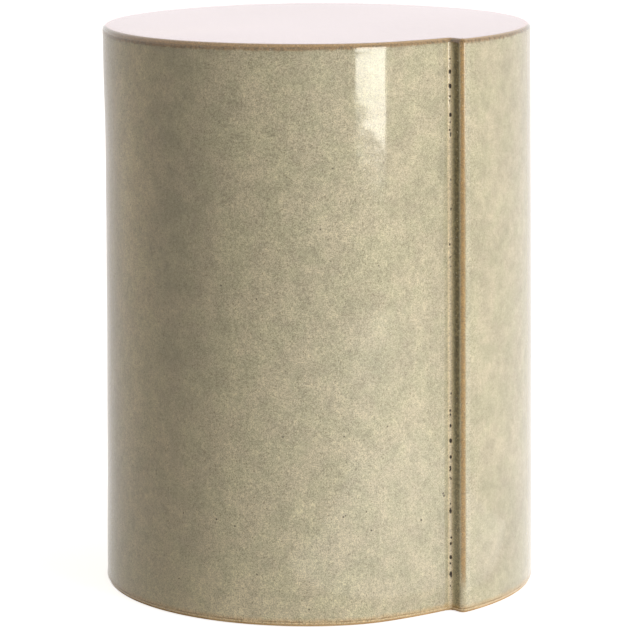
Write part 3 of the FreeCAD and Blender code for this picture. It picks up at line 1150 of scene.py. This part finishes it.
def bare_faces(plan, across):
    """Two masks of an outline's points: on the drum's outside, and on the wall of the hollow."""
    from_lap = plan - LAP
    radius = np.hypot(*from_lap.T)
    angle = angles_of(from_lap)
    facing = np.sum(from_lap * across, axis=1) / radius
    by_lap = (angle > LIFTED_END - 1) & (angle < COIL.angle + 1)
    inner = radius < LAP_BORE_RADIUS + 0.5 * MM
    outer = radius > TUCK_RADIUS - 0.5 * MM
    outside = (facing > -0.3) & ~(by_lap & inner)
    hollow = (facing < -0.5) & ~(by_lap & outer)
    return outside.astype(float), hollow.astype(float)


def upright_piece(name, outline, spacing, clay, node, foot_edge=FOOT_EDGE):
    """A piece of clay with one outline from the foot to the seat, its outer foot edge rounded."""
    places = even(outline, spacing)
    plan, across = outline.at(places)
    outside, hollow = bare_faces(plan, across)
    rows = [(-foot_edge * d, FOOT_Z + FOOT_EDGE * z) for d, z in FOOT_ROUNDING]
    row_count = round((WALL_TOP_Z - FOOT_Z) / CLAY_ROW)
    rows += [(0.0, z) for z in np.linspace(FIRST_CLAY_ROW, WALL_TOP_Z, row_count)]
    skin = Skin()
    rings = []
    for depth, height in rows:
        ring = in_plan(outline, places, depth * outside, height)
        is_free = DENTED_FROM < height < DENTED_TO
        normals = level(across * hollow[:, None] * is_free, 0)
        rings.append(skin.add(worked(ring, normals, WALL_DENTS, seed=3.0)))
    skin.close(rings, CLAY_SPACING, CLAY_SPACING)
    add_piece(name, handmade(skin.all_points()), skin.faces, clay, node, CREASE_ANGLE)


def hollow_curve(start, end, sag, count=8):
    """A sagging line between two section points, as a thumb leaves a coil. Its ends stay put."""
    (start_width, start_z), (end_width, end_z) = start, end
    curve = []
    for t in np.linspace(0, 1, count):
        free = math.sin(math.pi * t)
        width = start_width + (end_width - start_width) * t - sag * free
        curve.append((width, start_z + (end_z - start_z) * t, free))
    return curve


def coil_piece(name, outline, section, clay, node):
    """A smoothed coil all round the bore. Its section's rows have a width into the hollow, a height
    and a share of how far they may be dented."""
    places = even(outline, COIL_SPACING)
    normals = level(outline.at(places)[1], 0)
    skin = Skin()
    rings = []
    for width, height, free in section:
        ring = in_plan(outline, places, width, height)
        rings.append(skin.add(worked(ring, normals, COIL_DENTS * free, seed=5.0)))
    for lower, upper in zip(rings, rings[1:] + rings[:1]):
        skin.band(lower, upper)
    add_piece(name, handmade(skin.all_points()), skin.faces, clay, node, COIL_CREASE_ANGLE)


def make_coils(outline, clay):
    """The coils in the bore's two corners, under the seat and at the foot."""
    seat_toe = (COIL_TOE, SEAT_COIL_FOOT_Z)
    section = [(0.0, SEAT_COIL_FOOT_Z, 0)]
    section += hollow_curve(seat_toe, (COIL_WIDTH, WALL_TOP_Z), SEAT_COIL_SAG)
    section += [(0.0, WALL_TOP_Z, 0)]
    coil_piece("seat_coil_clay", outline, section, clay, "seat_coil")

    foot_heel = (COIL_WIDTH, FOOT_Z + FOOT_COIL_EDGE)
    section = [(0.0, FOOT_Z, 0), (COIL_WIDTH - FOOT_COIL_EDGE, FOOT_Z, 0)]
    section += hollow_curve(foot_heel, (FOOT_COIL_TOP_WIDTH, FOOT_COIL_TOP_Z), FOOT_COIL_SAG)
    section += [(0.0, FOOT_COIL_TOP_Z, 0)]
    coil_piece("foot_coil_clay", outline, section, clay, "foot_coil")


def make_seat(outline, clay):
    """The seat slab, under the glaze."""
    places = even(outline, SEAT_COLUMNS)
    rows = [(0.0, z) for z in (WALL_TOP_Z, WALL_TOP_Z + SEAT_FIRST_ROW, SEAT_TOP_Z - RIM_RADIUS)]
    rows += rim_section(RIM_RADIUS, SEAT_TOP_Z, SEAT_RIM_ROWS)
    skin = Skin()
    rings = [skin.add(in_plan(outline, places, depth, height)) for depth, height in rows]
    under = skin.close(rings, UNDERSIDE_SPACING, UNDER_GLAZE_SPACING)
    points = skin.all_points()
    from_middle = np.hypot(*(points[under][:, :2] - DRUM).T)
    inside_coil = DRUM_RADIUS - WALL_THICKNESS - COIL_WIDTH - from_middle
    dents = SEAT_DENTS * ripple(points[under], SEAT_DENT_WIDTH, 6.0)
    points[under, 2] += smooth_step(inside_coil, 0, SEAT_PRESS_EDGE) * (dents + SEAT_PRESS)
    add_piece("seat_clay", handmade(points), skin.faces, clay, "seat_slab", CREASE_ANGLE)


def make_clay(drum):
    """Every bare clay piece."""
    clay = clay_material()
    upright_piece("wall_clay", slab_outline(), 3 * MM, clay, "wall_slab")
    upright_piece("slip_clay", slip_outline(), 1.2 * MM, clay, "seam_slip", foot_edge=0.0)
    upright_piece("lap_coil_clay", lap_coil_outline(), 1.5 * MM, clay, "lap_coil")
    make_seat(drum, clay)
    make_coils(bore_outline(), clay)


# Pads

# A pad's section from its dished underside out and up: shares of its radius and of its height
PAD_SECTION = (
    (0.55, 0.12), (0.8, 0.02), (0.92, 0.0), (0.98, 0.12),
    (1.0, 0.35), (1.0, 0.7), (0.97, 0.93), (0.9, 1.0),
)
PAD_CORNERS = 48
PAD_SPACING = 2 * MM


def make_pad(number, rubber):
    """One stuck-on rubber pad: a moulded disc with a rounded edge and a dished underside."""
    node = f"foot_pad_{number}"
    low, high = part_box(node)
    middle = (low + high) / 2
    radius = (high.x - low.x) / 2
    skin = Skin()
    rings = []
    for share, rise in PAD_SECTION:
        plan = round_plan(PAD_CORNERS, radius * share) + (middle.x, middle.y)
        rings.append(skin.add(level(plan, high.z * rise)))
    skin.close(rings, PAD_SPACING, PAD_SPACING)
    add_piece(f"rubber_pad_{number}", skin.all_points(), skin.faces, rubber, node, CREASE_ANGLE)


def make_pads():
    """The rubber pads, and a better material for the film that holds them."""
    rubber = rubber_material()
    film = adhesive_material()
    for number in range(1, PAD_COUNT + 1):
        make_pad(number, rubber)
        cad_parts[f"pad_adhesive_{number}"].data.materials[0] = film


# Stage


def seen_directly(tree):
    """1 for camera, glossy and transmission rays, and 0 for the rest."""
    path = tree.node("LightPath").outputs
    either = tree.math("MAXIMUM", path["Is Camera Ray"], path["Is Glossy Ray"])
    return tree.math("MAXIMUM", either, path["Is Transmission Ray"])


def floor_material():
    """A matt white that glows a little to the camera, and to reflections more on the right."""
    material = bpy.data.materials.new("pale_floor")
    tree = Tree(material)
    tree.nodes.clear()
    paint = tree.node("BsdfDiffuse", {"Color": FLOOR_WHITE})
    place = tree.node("TexCoord").outputs["Object"]
    sheen = tree.ramp(tree.split(place, "X"), *SHEEN_REACH, LEFT_SHEEN, RIGHT_SHEEN)
    to_camera = tree.node("LightPath").outputs["Is Camera Ray"]
    glow = tree.node("Mix", {"Factor": to_camera, "A": sheen, "B": FLOOR_GLOW}).outputs["Result"]
    white = tree.node("Emission", {"Color": WHITE, "Strength": tree.times(seen_directly(tree), glow)})
    blend = tree.node("AddShader", {0: paint.outputs[0], 1: white.outputs[0]})
    tree.node("OutputMaterial", {"Surface": blend.outputs[0]})
    return material


def make_floor():
    """A pale round floor that reads as white to the camera."""
    skin = Skin()
    rings = [skin.add(level(round_plan(FLOOR_CORNERS, radius), 0)) for radius in FLOOR_RADII]
    for inner, outer in zip(rings, rings[1:]):
        skin.band(outer, inner)
    skin.faces.append(rings[0].tolist())
    mesh = new_mesh("floor", skin.all_points(), skin.faces, floor_material())
    new_object("floor", mesh)


def make_world():
    """Soft studio light, stronger from the right, and a backdrop that reads as white."""
    world = bpy.data.worlds.new("studio")
    bpy.context.scene.world = world
    tree = Tree(world)
    tree.nodes.clear()
    to_right = tree.split(tree.node("TexCoord").outputs["Generated"], "X")
    colour = tree.mix(tree.math("GREATER_THAN", to_right, 0), LEFT_LIGHT, RIGHT_LIGHT)
    room = tree.node("Background", {"Color": colour, "Strength": tree.math("ABSOLUTE", to_right)})
    backdrop = tree.node("Background", {"Color": WHITE, "Strength": 1.0})
    blend = tree.node("MixShader", {0: seen_directly(tree), 1: room.outputs[0], 2: backdrop.outputs[0]})
    tree.node("OutputWorld", {"Surface": blend.outputs[0]})


def make_light(name, angle, distance, height, width, tall, brightness, colour=WHITE, roll=0.0, tilt=0.0):
    """A soft box that faces the stool's axis, or tilts up or down. Brightness 1 is as bright as white."""
    light = bpy.data.lights.new(name, "AREA")
    light.shape = "RECTANGLE"
    light.size = width
    light.size_y = tall
    light.energy = brightness * math.pi * width * tall
    light.color = colour
    lamp = new_object(name, light)
    way = toward(angle)
    away = Vector((way[0], way[1], 0)).to_track_quat("Z", "Y").to_matrix().to_4x4()
    place = Vector((way[0] * distance, way[1] * distance, height))
    tilted = Matrix.Rotation(math.radians(tilt), 4, "X") @ Matrix.Rotation(math.radians(roll), 4, "Z")
    lamp.matrix_world = Matrix.Translation(place) @ away @ tilted
    lamp.visible_camera = False


def make_lights():
    """The window that shows in the glaze, a low light at the foot and a wide one behind."""
    make_light(
        "key", angle=41.5, distance=1.65, height=0.591, width=0.69, tall=0.75, brightness=7.95,
        colour=(1.0, 0.98, 0.88), roll=-4,
    )
    make_light("pool", angle=43.5, distance=0.52, height=0.002, width=0.6, tall=0.6, brightness=0.5, tilt=90)
    make_light(
        "back", angle=181.0, distance=3.0, height=0.8, width=1.3, tall=0.9, brightness=0.215,
        colour=(1.0, 0.52, 0.68),
    )


def make_camera():
    """The camera that the photo was taken with, as fitted to its outlines."""
    data = bpy.data.cameras.new("camera")
    data.lens = CAMERA_LENS
    data.sensor_width = SENSOR
    camera = new_object("camera", data)
    turn = Matrix.Rotation(math.radians(CAMERA_TURN), 4, "Z")
    tilt = Matrix.Rotation(math.radians(90 - CAMERA_DOWN), 4, "X")
    roll = Matrix.Rotation(math.radians(CAMERA_ROLL), 4, "Z")
    camera.matrix_world = Matrix.Translation(CAMERA_PLACE) @ turn @ tilt @ roll
    bpy.context.scene.camera = camera


drum = drum_outline()
make_glaze(drum)
make_clay(drum)
make_pads()
make_floor()
make_world()
make_lights()
make_camera()
bpy.context.scene.view_settings.view_transform = "Standard"
